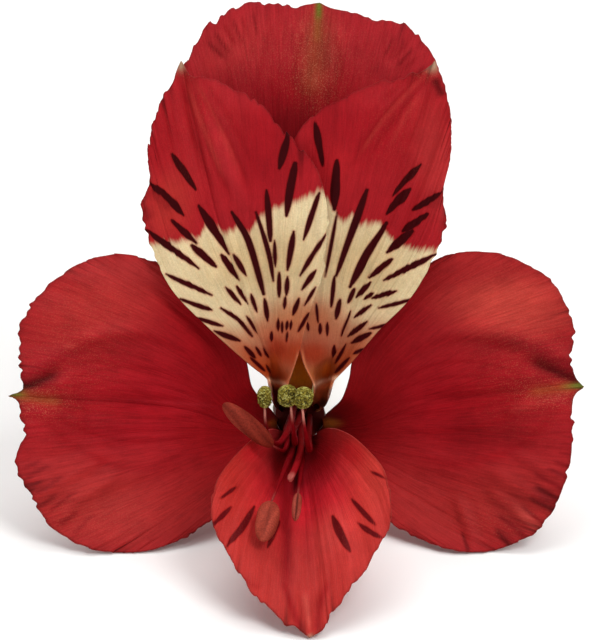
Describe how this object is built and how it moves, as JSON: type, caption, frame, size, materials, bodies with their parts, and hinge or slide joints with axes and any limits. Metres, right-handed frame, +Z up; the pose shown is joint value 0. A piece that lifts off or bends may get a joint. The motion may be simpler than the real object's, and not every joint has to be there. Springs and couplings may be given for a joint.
{
  "type": "peruvian lily flower",
  "caption": "Open face-on bloom with broad red outer tepals, streaked cream-throated inner tepals, curved stamens and a ribbed green ovary on a short stalk, lying on a surface.",
  "frame": {"origin": "on the surface the bloom lies on, under the middle of its outline", "axes": "+Z up; the bloom's face looks towards -Y and a little up; +X is to the right of someone who looks into the face"},
  "size_m": [0.0574, 0.0612, 0.0493],
  "materials": {
    "outer_tepal": "thin satin petal, crimson with coral lobes and a green tip",
    "inner_tepal": "thin satin petal, crimson above a cream throat with dark maroon streaks",
    "lower_tepal": "thin satin petal, coral red with a dark throat and a few streaks",
    "filament": "moist red stalklet that pales to its end",
    "pollen": "powdery olive green crumbs",
    "anther": "smooth brown-red skin with a groove",
    "style": "moist red stalklet with a pale pink end",
    "ovary": "waxy green with ribs"
  },
  "bodies": {
    "root": {"outer_tepal_top": "outer_tepal", "outer_tepal_left": "outer_tepal", "outer_tepal_right": "outer_tepal", "inner_tepal_upper_left": "inner_tepal", "inner_tepal_upper_right": "inner_tepal", "inner_tepal_lower": "lower_tepal", "filament_1": "filament", "filament_2": "filament", "filament_3": "filament", "filament_4": "filament", "filament_5": "filament", "filament_6": "filament", "anther_1": "pollen", "anther_2": "pollen", "anther_3": "pollen", "anther_4": "anther", "anther_5": "anther", "anther_6": "anther", "style": "style", "ovary_and_stalk": "ovary"}
  },
  "joints": []
}
